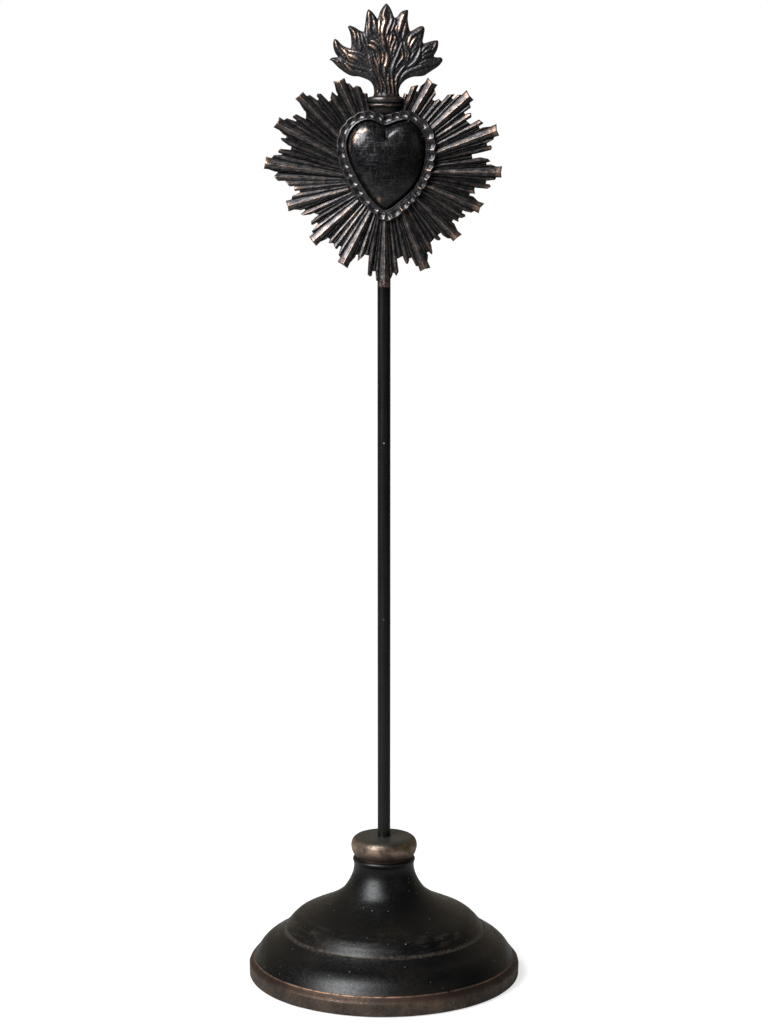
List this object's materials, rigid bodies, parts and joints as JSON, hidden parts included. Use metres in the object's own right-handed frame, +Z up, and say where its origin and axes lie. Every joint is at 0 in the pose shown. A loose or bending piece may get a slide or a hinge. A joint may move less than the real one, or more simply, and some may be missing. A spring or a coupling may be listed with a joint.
{
  "type": "photo holder",
  "caption": "Photo holder: a small cast flaming heart with a ray border on a slim rod over a round turned base; a sprung lever behind the heart grips a photo.",
  "frame": {"origin": "centre of the base's underside, where the felt meets the table", "axes": "+Z up along the rod, -Y out of the face of the heart, +X to the right as the heart is seen from the front"},
  "size_m": [0.1068, 0.1068, 0.3787],
  "materials": {
    "ornament_bronze": "near-black antique patina, copper rubbed through on the ridges and edges",
    "rod_black": "satin black paint",
    "base_black": "turned wood, satin black paint, slightly rubbed",
    "base_bronze": "turned wood, mottled antique bronze paint, rubbed on the edges",
    "bracket_black": "satin black paint on folded sheet steel",
    "clip_steel": "plain steel, lightly oiled",
    "pad_rubber": "matt black rubber",
    "felt": "pressed black felt"
  },
  "bodies": {
    "stand": {"sunburst": "ornament_bronze", "heart_border": "ornament_bronze", "heart_boss": "ornament_bronze", "flame_finial": "ornament_bronze", "rod": "rod_black", "bead_collar": "base_bronze", "base_dome": "base_black", "base_plinth": "base_bronze", "rod_bracket": "bracket_black", "clip_pin": "clip_steel", "pin_retainer": "clip_steel", "clip_spring": "clip_steel", "bracket_screws": "clip_steel", "flame_screws": "clip_steel", "rod_rivets": "clip_steel", "rod_washer": "clip_steel", "rod_nut": "clip_steel", "felt_pad": "felt"},
    "clip": {"clip_lever": "clip_steel", "jaw_pad": "pad_rubber"}
  },
  "joints": [
    {"name": "clip_hinge", "type": "hinge", "parent": "stand", "child": "clip", "pos_m": [0, -0.0048, 0.312], "axis": [1, 0, 0], "range_deg": [0, 9.5], "stiffness_Nm_per_rad": 0.12, "springref_deg": -20.05, "deforming": ["clip_spring"]}
  ]
}
